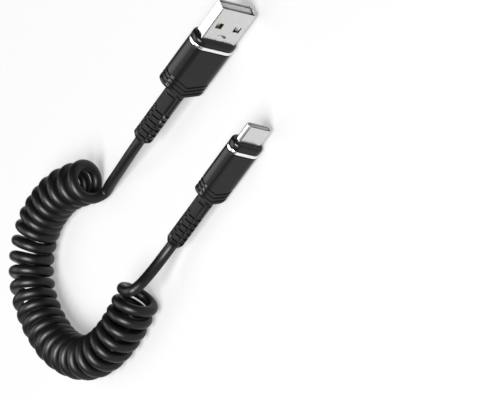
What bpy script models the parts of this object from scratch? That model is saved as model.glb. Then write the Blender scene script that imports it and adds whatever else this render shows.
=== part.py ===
"""Coiled USB-A to USB-C cable, lying on a level surface.

The cable lies on its coil, and both plugs lie on a narrow edge with their tips towards +X.
Each plug is built along its own axis, with x = 0 where the metal shell leaves the nose, +x towards
the tip, y across its thickness and z across its width, and is then placed by its parent empty.
The origin is the bottom centre of the box around the two plugs.
"""
import math

import bmesh
import bpy
from mathutils import Matrix, Vector
from mathutils.geometry import interpolate_bezier

MM = 0.001

# Clearances between pieces that meet
SEAT_GAP = 0.3 * MM
SLIP_GAP = 0.2 * MM

# Cord and coil
CORD_DIAMETER = 3.3 * MM
COIL_OUTER_DIAMETER = 13.8 * MM
COIL_SIDES = 20
COIL_RING_SPACING = 3.5 * MM
TAIL_POINT_SPACING = 2.0 * CORD_DIAMETER
DENSE_STEPS = 17

# How the two plugs lie beside each other
PLUG_SPACING = 38.0 * MM
TIP_LEAD = 11.5 * MM

# Shape of every moulded outline, and of each nose's crowned front
ARC_STEPS = 6
CROWN_STEPS = 4
SMALLEST_EDGE = 0.001 * MM
SMALLEST_SHELL_CORNER = 0.1 * MM
SMALLEST_RELIEF_CORNER = 0.2 * MM

# How far each metal shell's root is crimped in where the nose holds it
ROOT_CRIMP = 0.1 * MM

# How far a cutter reaches past the faces that it opens
OVERHANG = 1.0 * MM

# Strain relief: its wall round the cord at the tail, its roll about the plug's axis, how far its stem
# reaches back into it, and its rows of slots, each row nearer to the tail than the one before it
RELIEF_TAIL_WALL = 0.5 * MM
RELIEF_ROLL = math.radians(45)
STEM_OVERLAP = 1.0 * MM
SLOT_ROWS = 4
SLOT_COUNT = 6
SLOT_PITCH = 2.0 * MM
SLOT_STAGGER = 0.7 * MM
SLOT_WIDTH = 0.8 * MM
SLOT_DEPTH = 0.75 * MM
SLOT_END_WALL = 0.9 * MM
SLOT_TAIL_MARGIN = 1.7 * MM

# Chevron grooves round the rear of each grip
GROOVE_COUNT = 3
GROOVE_PITCH = 1.45 * MM
GROOVE_WIDTH = 0.6 * MM
GROOVE_DEPTH = 0.35 * MM
GROOVE_REAR_MARGIN = 1.1 * MM

USB_A = {
    "shell_width": 12.0 * MM,
    "shell_thickness": 4.5 * MM,
    "shell_corner": 0.5 * MM,
    "shell_reach": 12.3 * MM,
    "shell_root": 1.3 * MM,
    "wall": 0.3 * MM,
    "nose_length": 1.9 * MM,
    "nose_crown": 1.0 * MM,
    "nose_inset": 0.9 * MM,
    "ring_width": 1.1 * MM,
    "ring_proud": 0.05 * MM,
    "spigot_margin": 1.6 * MM,
    "spigot_length": 4.5 * MM,
    "grip_width": 14.8 * MM,
    "grip_thickness": 7.2 * MM,
    "grip_corner": 3.3 * MM,
    "grip_length": 19.0 * MM,
    "rear_taper": 2.2 * MM,
    "relief_side": 6.1 * MM,
    "relief_corner": 2.4 * MM,
    "relief_length": 20.5 * MM,
    "relief_tail_bevel": 1.2 * MM,
    "stem_side": 4.6 * MM,
    "stem_corner": 1.2 * MM,
    "stem_seat": 2.0 * MM,
}

USB_C = {
    "shell_width": 8.34 * MM,
    "shell_thickness": 2.5 * MM,
    "shell_corner": 1.2 * MM,
    "shell_reach": 6.3 * MM,
    "shell_root": 1.3 * MM,
    "wall": 0.3 * MM,
    "nose_length": 2.2 * MM,
    "nose_crown": 1.0 * MM,
    "nose_inset": 0.7 * MM,
    "ring_width": 1.1 * MM,
    "ring_proud": 0.05 * MM,
    "spigot_margin": 1.5 * MM,
    "spigot_length": 4.5 * MM,
    "grip_width": 10.6 * MM,
    "grip_thickness": 5.8 * MM,
    "grip_corner": 2.75 * MM,
    "grip_length": 20.0 * MM,
    "rear_taper": 2.0 * MM,
    "relief_side": 5.4 * MM,
    "relief_corner": 2.35 * MM,
    "relief_length": 19.0 * MM,
    "relief_tail_bevel": 1.2 * MM,
    "stem_side": 3.8 * MM,
    "stem_corner": 1.0 * MM,
    "stem_seat": 2.0 * MM,
}

# USB-A tongue and its contacts
TONGUE_WIDTH = 11.1 * MM
TONGUE_THICKNESS = 1.9 * MM
TONGUE_RECESS = 0.6 * MM
CONTACT_PITCHES = (-3.5 * MM, -1.0 * MM, 1.0 * MM, 3.5 * MM)
CONTACT_WIDTH = 1.0 * MM
CONTACT_LENGTH = 7.0 * MM
CONTACT_THICKNESS = 0.2 * MM
CONTACT_TIP_MARGIN = 1.2 * MM
CONTACT_BED_DEPTH = 0.4 * MM

# Windows and the dimple in the broad faces of the USB-A shell
WINDOW_OVERCUT = 0.15 * MM
WINDOW_SIDE = 2.2 * MM
WINDOW_SPACING = 6.25 * MM
WINDOW_FROM_NOSE = 5.85 * MM
DIMPLE_LENGTH = 1.2 * MM
DIMPLE_WIDTH = 3.0 * MM
DIMPLE_FROM_NOSE = 1.95 * MM

# USB-C insulator and its slot
INSULATOR_RECESS = 0.5 * MM
SLOT_MOUTH_WIDTH = 6.7 * MM
SLOT_MOUTH_HEIGHT = 0.9 * MM
SLOT_MOUTH_DEPTH = 4.6 * MM

# Route of the coil's axis from the USB-A end to the USB-C end: the middle of each turn of the cord,
# millimetres in plan
COIL_ROUTE_MM = (
    (-51.75, 26.9), (-56.35, 30.1), (-61.0, 32.9), (-65.15, 34.6), (-68.85, 35.2), (-72.45, 35.2),
    (-75.75, 34.8), (-78.85, 33.5), (-82.25, 31.2), (-85.25, 28.1), (-87.55, 24.5), (-89.35, 20.3),
    (-90.45, 15.7), (-90.75, 10.8), (-90.55, 5.8), (-89.85, 0.8), (-88.85, -4.0), (-87.25, -8.5),
    (-85.15, -12.7), (-82.65, -16.5), (-79.75, -19.8), (-76.45, -22.4), (-72.9, -24.2),
    (-69.1, -25.3), (-65.3, -25.7), (-61.6, -25.6), (-58.0, -25.1), (-54.5, -24.1), (-50.6, -22.8),
)

# Routes of the two straight tails, millimetres, between the strain relief and the coil's end face
TAIL_A_ROUTE_MM = (
    (-32.83, 19.55, 6.5), (-37.88, 20.65, 5.4), (-42.96, 21.87, 4.2), (-47.24, 22.93, 3.2),
)
TAIL_C_ROUTE_MM = (
    (-36.17, -20.67, 6.5), (-39.1, -22.13, 7.8), (-41.75, -23.74, 9.4), (-43.89, -25.17, 11.0),
)

# How far each tail runs straight on at each of its ends
TAIL_LEAD_OUT = 2.2 * MM

# Where on the coil's end face each tail joins the turns, degrees round the coil's axis
TAIL_A_SIDE = -36.0
TAIL_C_SIDE = 70.0

BLACK_MATTE = ((0.012, 0.012, 0.013, 1.0), 0.45, 0.0)
BLACK_GLOSS = ((0.010, 0.010, 0.011, 1.0), 0.25, 0.0)
BRIGHT_TRIM = ((0.90, 0.90, 0.91, 1.0), 0.10, 1.0)
SHELL_STEEL = ((0.62, 0.62, 0.63, 1.0), 0.28, 1.0)
GOLD_PLATE = ((0.83, 0.60, 0.26, 1.0), 0.22, 1.0)
WHITE_PLASTIC = ((0.80, 0.80, 0.80, 1.0), 0.40, 0.0)


def material(name, finish):
    """A Principled material with one colour, roughness and metallic value."""
    colour, roughness, metallic = finish
    mat = bpy.data.materials.get(name) or bpy.data.materials.new(name)
    mat.use_nodes = True
    shader = mat.node_tree.nodes["Principled BSDF"]
    shader.inputs["Base Color"].default_value = colour
    shader.inputs["Roughness"].default_value = roughness
    shader.inputs["Metallic"].default_value = metallic
    mat.diffuse_color = colour
    return mat


def add_object(name, bm, finish, parent=None):
    """Turn a bmesh into a named object with its own material, and smooth its round faces."""
    bmesh.ops.recalc_face_normals(bm, faces=bm.faces)
    mesh = bpy.data.meshes.new(name)
    bm.to_mesh(mesh)
    bm.free()
    mesh.materials.append(material(name, finish))
    mesh.shade_smooth()
    mesh.set_sharp_from_angle(angle=math.radians(35))
    obj = bpy.data.objects.new(name, mesh)
    bpy.context.collection.objects.link(obj)
    obj.parent = parent
    return obj


def add_cutter(name, bm, parent=None):
    """A hidden wire object that another one subtracts."""
    bmesh.ops.recalc_face_normals(bm, faces=bm.faces)
    mesh = bpy.data.meshes.new(name)
    bm.to_mesh(mesh)
    bm.free()
    obj = bpy.data.objects.new(name, mesh)
    bpy.context.collection.objects.link(obj)
    obj.hide_render = True
    obj.display_type = "WIRE"
    obj.parent = parent
    return obj


def boolean(obj, tool, operation):
    """Add an exact Boolean modifier."""
    mod = obj.modifiers.new(tool.name, "BOOLEAN")
    mod.operation = operation
    mod.solver = "EXACT"
    mod.object = tool


def outline(thickness, width, corner):
    """Points of a rounded rectangle round the plug's axis, as (y, z) pairs, anticlockwise."""
    corner = min(corner, thickness / 2, width / 2)
    y_flat = thickness / 2 - corner
    z_flat = width / 2 - corner
    points = []
    for quarter, (sign_y, sign_z) in enumerate(((1, 1), (-1, 1), (-1, -1), (1, -1))):
        for step in range(ARC_STEPS + 1):
            angle = math.pi / 2 * (quarter + step / ARC_STEPS)
            point = (sign_y * y_flat + corner * math.cos(angle), sign_z * z_flat + corner * math.sin(angle))
            if not points or math.dist(points[-1], point) > SMALLEST_EDGE:
                points.append(point)
    if math.dist(points[-1], points[0]) < SMALLEST_EDGE:
        points.pop()
    return points


def join_rings(bm, near, far):
    """Faces between two rings of vertices."""
    for index in range(len(near)):
        following = (index + 1) % len(near)
        bm.faces.new((near[index], near[following], far[following], far[index]))


def skin(bm, sections):
    """Skin a closed body through rings of points, with a flat cap at each end."""
    rings = [[bm.verts.new(point) for point in points] for points in sections]
    for near, far in zip(rings, rings[1:]):
        join_rings(bm, near, far)
    bm.faces.new(rings[0])
    bm.faces.new(list(reversed(rings[-1])))


def loft(sections):
    """A new bmesh holding one body through sections of (x, outline points) along the plug."""
    bm = bmesh.new()
    skin(bm, [[(x, y, z) for y, z in points] for x, points in sections])
    return bm


def turned(points, roll):
    """Outline points rolled about the plug's axis."""
    cos, sin = math.cos(roll), math.sin(roll)
    return [(y * cos - z * sin, y * sin + z * cos) for y, z in points]


def add_block(bm, low, high, roll=0.0):
    """Add a box between two corners, then rolled about the plug's axis."""
    size = Vector(high) - Vector(low)
    centre = (Vector(high) + Vector(low)) / 2
    matrix = Matrix.Rotation(roll, 4, "X") @ Matrix.Translation(centre) @ Matrix.Diagonal((*size, 1.0))
    bmesh.ops.create_cube(bm, size=1.0, matrix=matrix)


def add_prism(bm, corners, y_low, y_high):
    """Add an outline in the x-z plane, extruded across the plug's thickness."""
    skin(bm, [[(x, y, z) for x, z in corners] for y in (y_low, y_high)])


def sleeve(outside, inside, closed_back):
    """A walled sleeve: outer and inner sections of (x, outline points), closed at the back or open."""
    bm = bmesh.new()
    rings = [[[bm.verts.new((x, y, z)) for y, z in points] for x, points in wall]
             for wall in (outside, inside)]
    for wall in rings:
        for near, far in zip(wall, wall[1:]):
            join_rings(bm, near, far)
    outer, inner = rings
    join_rings(bm, outer[-1], inner[-1])
    if closed_back:
        bm.faces.new(outer[0])
        bm.faces.new(inner[0])
    else:
        join_rings(bm, outer[0], inner[0])
    return bm


def stations(plug):
    """Places along the plug's axis where one piece gives way to the next."""
    nose_back = -plug["nose_length"]
    ring_front = nose_back - SEAT_GAP
    ring_back = ring_front - plug["ring_width"]
    grip_front = ring_back - SEAT_GAP
    grip_back = grip_front - plug["grip_length"]
    stem_front = grip_back + plug["stem_seat"]
    relief_back = grip_back - plug["relief_length"]
    return {
        "nose_back": nose_back, "ring_front": ring_front, "ring_back": ring_back,
        "grip_front": grip_front, "grip_back": grip_back,
        "stem_front": stem_front, "relief_back": relief_back,
    }


def plug_length(plug):
    """From the tip of the shell to the end of the strain relief."""
    return plug["shell_reach"] - stations(plug)["relief_back"]


def axis_height(plug):
    """Height of the plug's axis when the trim ring's narrow edge touches the surface."""
    return plug["grip_width"] / 2 + plug["ring_proud"]


def shell_outline(plug, inset):
    """The metal shell's outline, drawn in by an inset."""
    return outline(
        plug["shell_thickness"] - 2 * inset,
        plug["shell_width"] - 2 * inset,
        max(plug["shell_corner"] - inset, SMALLEST_SHELL_CORNER),
    )


def grip_outline(plug, inset):
    """The grip's outline, drawn in by an inset."""
    return outline(
        plug["grip_thickness"] - 2 * inset,
        plug["grip_width"] - 2 * inset,
        plug["grip_corner"] - inset,
    )


def relief_outline(plug, inset):
    """The strain relief's outline, drawn in by an inset and rolled about the plug's axis."""
    side = plug["relief_side"] - 2 * inset
    corner = max(plug["relief_corner"] - inset, SMALLEST_RELIEF_CORNER)
    return turned(outline(side, side, corner), RELIEF_ROLL)


def stem_outline(plug, inset):
    """The outline of the stem that holds the strain relief in the grip, drawn in by an inset."""
    side = plug["stem_side"] - 2 * inset
    return outline(side, side, max(plug["stem_corner"] - inset, SMALLEST_RELIEF_CORNER))


def build_shell(prefix, plug, parent):
    """The drawn metal shell, open at its tip, with its crimped and closed root inside the nose."""
    back = -plug["shell_root"]
    wall = plug["wall"]
    outside = [
        (back, shell_outline(plug, ROOT_CRIMP)),
        (0.0, shell_outline(plug, ROOT_CRIMP)),
        (SLIP_GAP, shell_outline(plug, 0)),
        (plug["shell_reach"], shell_outline(plug, 0)),
    ]
    inside = [(x, shell_outline(plug, wall)) for x in (back + wall, plug["shell_reach"])]
    bm = sleeve(outside, inside, closed_back=True)
    return add_object(f"{prefix}_shell", bm, SHELL_STEEL, parent)


def build_nose(prefix, plug, parent):
    """The black collar in front of the trim ring, with a socket for the shell and a rear spigot."""
    place = stations(plug)
    spigot = grip_outline(plug, plug["spigot_margin"])
    sections = [
        (place["nose_back"] - plug["spigot_length"], spigot),
        (place["nose_back"], spigot),
        (place["nose_back"], grip_outline(plug, 0)),
    ]
    for step in range(CROWN_STEPS + 1):
        angle = math.pi / 2 * step / CROWN_STEPS
        inset = plug["nose_inset"] * (1 - math.cos(angle))
        sections.append((plug["nose_crown"] * (math.sin(angle) - 1), grip_outline(plug, inset)))
    nose = add_object(f"{prefix}_nose", loft(sections), BLACK_GLOSS, parent)
    socket = loft([
        (-plug["shell_root"] - SEAT_GAP, shell_outline(plug, -SLIP_GAP)),
        (plug["shell_reach"], shell_outline(plug, -SLIP_GAP)),
    ])
    boolean(nose, add_cutter(f"{prefix}_nose_socket", socket, parent), "DIFFERENCE")
    return nose


def build_trim_ring(prefix, plug, parent):
    """The bright ring between nose and grip, threaded on the nose's spigot."""
    place = stations(plug)
    outside = grip_outline(plug, -plug["ring_proud"])
    inside = grip_outline(plug, plug["spigot_margin"] - SLIP_GAP)
    bm = sleeve(
        [(place["ring_back"], outside), (place["ring_front"], outside)],
        [(place["ring_back"], inside), (place["ring_front"], inside)],
        closed_back=False,
    )
    return add_object(f"{prefix}_trim_ring", bm, BRIGHT_TRIM, parent)


def chevron(plug, x_apex, width):
    """Corners of one V-shaped band whose point looks back along the plug."""
    half = plug["grip_width"] / 2
    slope = plug["rear_taper"] / half
    reach = half + OVERHANG
    front = [(x_apex + slope * abs(z), z) for z in (-reach, 0.0, reach)]
    back = [(x - width, z) for x, z in reversed(front)]
    return front + back


def build_grip(prefix, plug, parent):
    """The hard grip: a pocket for the spigot in front, chevron grooves and a pointed rear end."""
    place = stations(plug)
    back = place["grip_back"]
    clear = plug["grip_width"]
    body = loft([(back, grip_outline(plug, 0)), (place["grip_front"], grip_outline(plug, 0))])
    grip = add_object(f"{prefix}_grip", body, BLACK_GLOSS, parent)

    grooves = bmesh.new()
    for index in range(GROOVE_COUNT):
        x_front = back + GROOVE_REAR_MARGIN + GROOVE_WIDTH + index * GROOVE_PITCH
        add_prism(grooves, chevron(plug, x_front, GROOVE_WIDTH), -clear, clear)
    boolean(grip, add_cutter(f"{prefix}_grip_grooves", grooves, parent), "DIFFERENCE")

    core = loft([(back, grip_outline(plug, GROOVE_DEPTH)),
                 (place["grip_front"] - OVERHANG, grip_outline(plug, GROOVE_DEPTH))])
    boolean(grip, add_cutter(f"{prefix}_grip_core", core, parent), "UNION")

    rear = bmesh.new()
    add_prism(rear, chevron(plug, back, clear), -clear, clear)
    boolean(grip, add_cutter(f"{prefix}_grip_rear", rear, parent), "DIFFERENCE")

    pocket = loft([
        (place["nose_back"] - plug["spigot_length"] - SEAT_GAP,
         grip_outline(plug, plug["spigot_margin"] - SLIP_GAP)),
        (0.0, grip_outline(plug, plug["spigot_margin"] - SLIP_GAP)),
    ])
    boolean(grip, add_cutter(f"{prefix}_grip_pocket", pocket, parent), "DIFFERENCE")

    seat = loft([(back - clear, stem_outline(plug, -SLIP_GAP)),
                 (place["stem_front"] + SEAT_GAP, stem_outline(plug, -SLIP_GAP))])
    boolean(grip, add_cutter(f"{prefix}_grip_seat", seat, parent), "DIFFERENCE")
    return grip


def build_strain_relief(prefix, plug, parent):
    """The flexible strain relief: slotted all round, notched round the grip's rear, with a stem."""
    place = stations(plug)
    back = place["relief_back"]
    bevel = plug["relief_tail_bevel"]
    tail_inset = (plug["relief_side"] - CORD_DIAMETER) / 2 - RELIEF_TAIL_WALL
    sections = [
        (back, relief_outline(plug, tail_inset)),
        (back + bevel, relief_outline(plug, 0)),
        (place["grip_back"] + plug["rear_taper"], relief_outline(plug, 0)),
    ]
    relief = add_object(f"{prefix}_strain_relief", loft(sections), BLACK_MATTE, parent)

    slots = bmesh.new()
    half = plug["relief_side"] / 2
    floor = half - SLOT_DEPTH
    edge = half - SLOT_END_WALL
    for row in range(SLOT_ROWS):
        roll = RELIEF_ROLL + 2 * math.pi * row / SLOT_ROWS
        first = back + bevel + SLOT_TAIL_MARGIN - (row * SLOT_STAGGER) % SLOT_PITCH
        for index in range(SLOT_COUNT):
            low = first + index * SLOT_PITCH
            add_block(slots, (low, floor, -edge), (low + SLOT_WIDTH, half + OVERHANG, edge), roll)
    boolean(relief, add_cutter(f"{prefix}_relief_slots", slots, parent), "DIFFERENCE")

    clear = plug["grip_width"]
    notch = bmesh.new()
    add_prism(notch, chevron(plug, place["grip_back"] - SEAT_GAP + clear, clear), -clear, clear)
    boolean(relief, add_cutter(f"{prefix}_relief_notch", notch, parent), "DIFFERENCE")

    stem = loft([(place["grip_back"] - STEM_OVERLAP, stem_outline(plug, 0)),
                 (place["stem_front"], stem_outline(plug, 0))])
    boolean(relief, add_cutter(f"{prefix}_relief_stem", stem, parent), "UNION")
    return relief


def cut_shell_windows(shell, plug, parent):
    """Two square windows and one dimple hole in each broad face."""
    holes = bmesh.new()
    half = plug["shell_thickness"] / 2
    inner_face = half - plug["wall"]
    for side in (-1, 1):
        y_low, y_high = sorted((side * (inner_face - WINDOW_OVERCUT), side * (half + WINDOW_OVERCUT)))
        for across in (-WINDOW_SPACING / 2, WINDOW_SPACING / 2):
            add_block(
                holes,
                (WINDOW_FROM_NOSE - WINDOW_SIDE / 2, y_low, across - WINDOW_SIDE / 2),
                (WINDOW_FROM_NOSE + WINDOW_SIDE / 2, y_high, across + WINDOW_SIDE / 2),
            )
        add_block(
            holes,
            (DIMPLE_FROM_NOSE - DIMPLE_LENGTH / 2, y_low, -DIMPLE_WIDTH / 2),
            (DIMPLE_FROM_NOSE + DIMPLE_LENGTH / 2, y_high, DIMPLE_WIDTH / 2),
        )
    boolean(shell, add_cutter("usb_a_shell_windows", holes, parent), "DIFFERENCE")


def build_tongue(plug, parent):
    """The USB-A plug's plastic tongue, against the +y broad wall, with a bed for each contact."""
    wall = plug["wall"]
    front = plug["shell_reach"] - TONGUE_RECESS
    back = -plug["shell_root"] + wall + SEAT_GAP
    y_back = plug["shell_thickness"] / 2 - wall - SLIP_GAP
    y_face = y_back - TONGUE_THICKNESS
    bm = bmesh.new()
    half = min(TONGUE_WIDTH, plug["shell_width"] - 2 * (wall + SLIP_GAP)) / 2
    add_block(bm, (back, y_face, -half), (front, y_back, half))
    tongue = add_object("usb_a_tongue", bm, WHITE_PLASTIC, parent)
    beds = bmesh.new()
    for across in CONTACT_PITCHES:
        reach = CONTACT_WIDTH / 2 + SLIP_GAP
        tip = front - CONTACT_TIP_MARGIN
        add_block(
            beds,
            (tip - CONTACT_LENGTH - 2 * SLIP_GAP, y_face - OVERHANG, across - reach),
            (tip, y_face + CONTACT_BED_DEPTH, across + reach),
        )
    boolean(tongue, add_cutter("usb_a_contact_beds", beds, parent), "DIFFERENCE")
    for number, across in enumerate(CONTACT_PITCHES, start=1):
        strip = bmesh.new()
        tip = front - CONTACT_TIP_MARGIN - SLIP_GAP
        bed = y_face + CONTACT_BED_DEPTH - SLIP_GAP
        add_block(
            strip,
            (tip - CONTACT_LENGTH, bed - CONTACT_THICKNESS, across - CONTACT_WIDTH / 2),
            (tip, bed, across + CONTACT_WIDTH / 2),
        )
        add_object(f"usb_a_contact_{number}", strip, GOLD_PLATE, parent)


def build_insulator(plug, parent):
    """The USB-C plug's inner moulding, with the slot that takes the socket's tongue."""
    inset = plug["wall"] + SLIP_GAP
    front = plug["shell_reach"] - INSULATOR_RECESS
    back = -plug["shell_root"] + plug["wall"] + SEAT_GAP
    body = loft([(back, shell_outline(plug, inset)), (front, shell_outline(plug, inset))])
    insulator = add_object("usb_c_insulator", body, WHITE_PLASTIC, parent)
    slot = bmesh.new()
    add_block(
        slot,
        (front - SLOT_MOUTH_DEPTH, -SLOT_MOUTH_HEIGHT / 2, -SLOT_MOUTH_WIDTH / 2),
        (front + OVERHANG, SLOT_MOUTH_HEIGHT / 2, SLOT_MOUTH_WIDTH / 2),
    )
    boolean(insulator, add_cutter("usb_c_mouth", slot, parent), "DIFFERENCE")


def build_plug(prefix, plug, tip_x, axis_y):
    """All the pieces that both plugs have, on one empty at the root of the metal shell."""
    seat = bpy.data.objects.new(f"{prefix}_plug", None)
    bpy.context.collection.objects.link(seat)
    seat.location = (tip_x - plug["shell_reach"], axis_y, axis_height(plug))
    shell = build_shell(prefix, plug, seat)
    build_nose(prefix, plug, seat)
    build_trim_ring(prefix, plug, seat)
    build_grip(prefix, plug, seat)
    build_strain_relief(prefix, plug, seat)
    return seat, shell


def smooth_route(points, spacing):
    """Evenly spaced points on a smooth curve through a route."""
    route = [Vector(point) for point in points]
    dense = [route[0]]
    for index in range(len(route) - 1):
        start, end = route[index], route[index + 1]
        before = route[index - 1] if index else start - (end - start)
        after = route[index + 2] if index + 2 < len(route) else end + (end - start)
        handle_out = start + (end - before) / 6
        handle_in = end - (after - start) / 6
        dense += interpolate_bezier(start, handle_out, handle_in, end, DENSE_STEPS)[1:]
    lengths = [0.0]
    for near, far in zip(dense, dense[1:]):
        lengths.append(lengths[-1] + (far - near).length)
    count = max(2, round(lengths[-1] / spacing) + 1)
    even = []
    index = 0
    for step in range(count):
        target = lengths[-1] * step / (count - 1)
        while index < len(lengths) - 2 and lengths[index + 1] < target:
            index += 1
        share = (target - lengths[index]) / (lengths[index + 1] - lengths[index])
        even.append(dense[index].lerp(dense[index + 1], min(share, 1.0)))
    return even


def millimetres(points):
    """Scale a route written in millimetres to metres."""
    return [Vector(point) * MM for point in points]


def build_tail(name, points):
    """One straight stretch of cord: a closed tube along a poly spline."""
    curve = bpy.data.curves.new(name, "CURVE")
    curve.dimensions = "3D"
    curve.bevel_depth = CORD_DIAMETER / 2
    curve.bevel_resolution = 2
    curve.use_fill_caps = True
    spline = curve.splines.new("POLY")
    spline.points.add(len(points) - 1)
    for slot, point in zip(spline.points, points):
        slot.co = (*point, 1.0)
    curve.materials.append(material(name, BLACK_MATTE))
    obj = bpy.data.objects.new(name, curve)
    bpy.context.collection.objects.link(obj)
    return obj


def coil_axis():
    """Evenly spaced points along the middle of the coil, one coil radius above the surface."""
    height = COIL_OUTER_DIAMETER / 2
    return smooth_route([(x * MM, y * MM, height) for x, y in COIL_ROUTE_MM], COIL_RING_SPACING)


def radial(along, degrees):
    """Unit vector square to a level direction, turned up from that direction's right side."""
    angle = math.radians(degrees)
    right = along.normalized().cross(Vector((0.0, 0.0, 1.0)))
    return right * math.cos(angle) + Vector((0.0, 0.0, 1.0)) * math.sin(angle)


def end_of_tail(centre, outward, side):
    """The last two points of a tail: straight on to the coil's end face, where its turns begin."""
    turn_radius = (COIL_OUTER_DIAMETER - CORD_DIAMETER) / 2
    seat = centre + side * turn_radius + outward * SEAT_GAP
    return [seat + outward * TAIL_LEAD_OUT, seat]


def build_coil(axis):
    """The curly stretch: one fat tube of the coil's outer diameter, along the coil's axis."""
    radius = COIL_OUTER_DIAMETER / 2
    sections = []
    for index, centre in enumerate(axis):
        along = axis[min(index + 1, len(axis) - 1)] - axis[max(index - 1, 0)]
        angles = [360 * side / COIL_SIDES for side in range(COIL_SIDES)]
        sections.append([centre + radial(along, angle) * radius for angle in angles])
    bm = bmesh.new()
    skin(bm, sections)
    return add_object("cord_coil", bm, BLACK_MATTE)


def main():
    """Clear the scene and build the cable."""
    for obj in list(bpy.data.objects):
        bpy.data.objects.remove(obj)

    span_x = max(plug_length(USB_A), TIP_LEAD + plug_length(USB_C))
    tip_a = span_x / 2
    tip_c = tip_a - TIP_LEAD
    half_a = USB_A["grip_thickness"] / 2 + USB_A["ring_proud"]
    half_c = USB_C["grip_thickness"] / 2 + USB_C["ring_proud"]
    axis_a = (PLUG_SPACING + half_c - half_a) / 2
    axis_c = axis_a - PLUG_SPACING

    seat_a, shell_a = build_plug("usb_a", USB_A, tip_a, axis_a)
    cut_shell_windows(shell_a, USB_A, seat_a)
    build_tongue(USB_A, seat_a)

    seat_c, _ = build_plug("usb_c", USB_C, tip_c, axis_c)
    build_insulator(USB_C, seat_c)

    axis = coil_axis()
    build_coil(axis)
    for name, plug, tip, axis_y, route, centre, inner, degrees in (
        ("cord_tail_usb_a", USB_A, tip_a, axis_a, TAIL_A_ROUTE_MM, axis[0], axis[1], TAIL_A_SIDE),
        ("cord_tail_usb_c", USB_C, tip_c, axis_c, TAIL_C_ROUTE_MM, axis[-1], axis[-2], TAIL_C_SIDE),
    ):
        leaves = Vector((tip - plug_length(plug) - SEAT_GAP, axis_y, axis_height(plug)))
        start = leaves - Vector((TAIL_LEAD_OUT, 0.0, 0.0))
        outward = (centre - inner).normalized()
        lead, seat = end_of_tail(centre, outward, radial(outward, degrees))
        points = smooth_route([start] + millimetres(route) + [lead], TAIL_POINT_SPACING)
        build_tail(name, [leaves] + points + [seat])


main()
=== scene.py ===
"""Looks of a coiled USB-A to USB-C cable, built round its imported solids.

The cable lies on a pale surface. Both plugs point towards +X and stand on a narrow edge, so their
broad faces look towards -Y and +Y, and their narrow sides towards +Z and -Z. Each class builds one
sub-assembly: the cord, a plug's metal end, a plug's moulded body, or the studio round them.
"""
from __future__ import annotations

import logging
import math
from collections.abc import Callable, Sequence
from dataclasses import dataclass, fields
from enum import Enum

import bmesh
import bpy
from mathutils import Matrix, Vector
from mathutils.geometry import interpolate_bezier

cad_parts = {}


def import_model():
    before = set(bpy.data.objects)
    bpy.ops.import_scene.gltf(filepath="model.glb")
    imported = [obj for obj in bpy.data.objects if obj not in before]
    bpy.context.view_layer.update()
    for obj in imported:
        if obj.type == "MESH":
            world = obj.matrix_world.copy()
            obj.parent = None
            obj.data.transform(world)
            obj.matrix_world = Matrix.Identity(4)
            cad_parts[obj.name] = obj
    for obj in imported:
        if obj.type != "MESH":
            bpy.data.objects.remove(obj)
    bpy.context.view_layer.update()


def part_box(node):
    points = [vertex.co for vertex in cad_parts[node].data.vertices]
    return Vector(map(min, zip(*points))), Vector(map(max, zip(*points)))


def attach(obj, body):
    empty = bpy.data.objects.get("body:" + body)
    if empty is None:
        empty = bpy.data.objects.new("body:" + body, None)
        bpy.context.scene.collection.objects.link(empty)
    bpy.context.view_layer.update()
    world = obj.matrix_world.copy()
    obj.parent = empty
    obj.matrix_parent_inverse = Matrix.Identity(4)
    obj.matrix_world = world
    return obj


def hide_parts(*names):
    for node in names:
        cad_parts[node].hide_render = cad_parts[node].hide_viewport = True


LOG = logging.getLogger("cable")

MM = 0.001
BODY = "root"
ALONG = Vector((1.0, 0.0, 0.0))
ACROSS = Vector((0.0, 1.0, 0.0))
UP = Vector((0.0, 0.0, 1.0))
# Edges sharper than this are rounded and shaded as edges
SHARP = math.radians(30)
# Points nearer than this are one point
TOUCHING = 0.001 * MM
SMALLEST_CORNER = 0.05 * MM
# How far a cutter reaches past the faces that it opens
OVERHANG = 1.0 * MM
# Cosines of the angles within which an edge runs, and a face looks, in a direction
PARALLEL = 0.999
FACING = 0.99
# Faces round each rounded corner of a slot or a window
CUT_STEPS = 3
# The colour sockets of a Mix node: its two inputs and its output
MIX_FIRST, MIX_SECOND, MIX_RESULT = 6, 7, 2
WHITE = (1.0, 1.0, 1.0, 1.0)


class Kind(Enum):
    """The two plugs, by the start of their nodes' names."""

    USB_A = "usb_a"
    USB_C = "usb_c"


class Part(Enum):
    """What an edit-mode selection is made of."""

    FACE = "FACE"
    EDGE = "EDGE"
    VERT = "VERT"


# Modelling tools


def leave_edit_mode() -> None:
    """Go back to object mode, with nothing selected."""
    if bpy.context.object is not None and bpy.context.object.mode != "OBJECT":
        bpy.ops.object.mode_set(mode="OBJECT")
    bpy.ops.object.select_all(action="DESELECT")


def activate(obj: bpy.types.Object) -> None:
    """Select one object alone and make it the active one.

    Args:
        obj: The object that the next operator acts on.
    """
    leave_edit_mode()
    obj.select_set(True)
    bpy.context.view_layer.objects.active = obj


def add_object(name: str, data: bpy.types.ID) -> bpy.types.Object:
    """Put a curve, a camera or a light into the scene."""
    added = bpy.data.objects.new(name, data)
    bpy.context.collection.objects.link(added)
    return added


@dataclass(frozen=True)
class Section:
    """A rounded rectangle across a plug, thick along Y and wide along Z."""

    thickness: float
    width: float
    corner: float

    def drawn_in(self, by: float) -> Section:
        """The same outline, drawn in all round by a distance."""
        corner = max(self.corner - by, SMALLEST_CORNER)
        return Section(self.thickness - 2 * by, self.width - 2 * by, corner)


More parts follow.
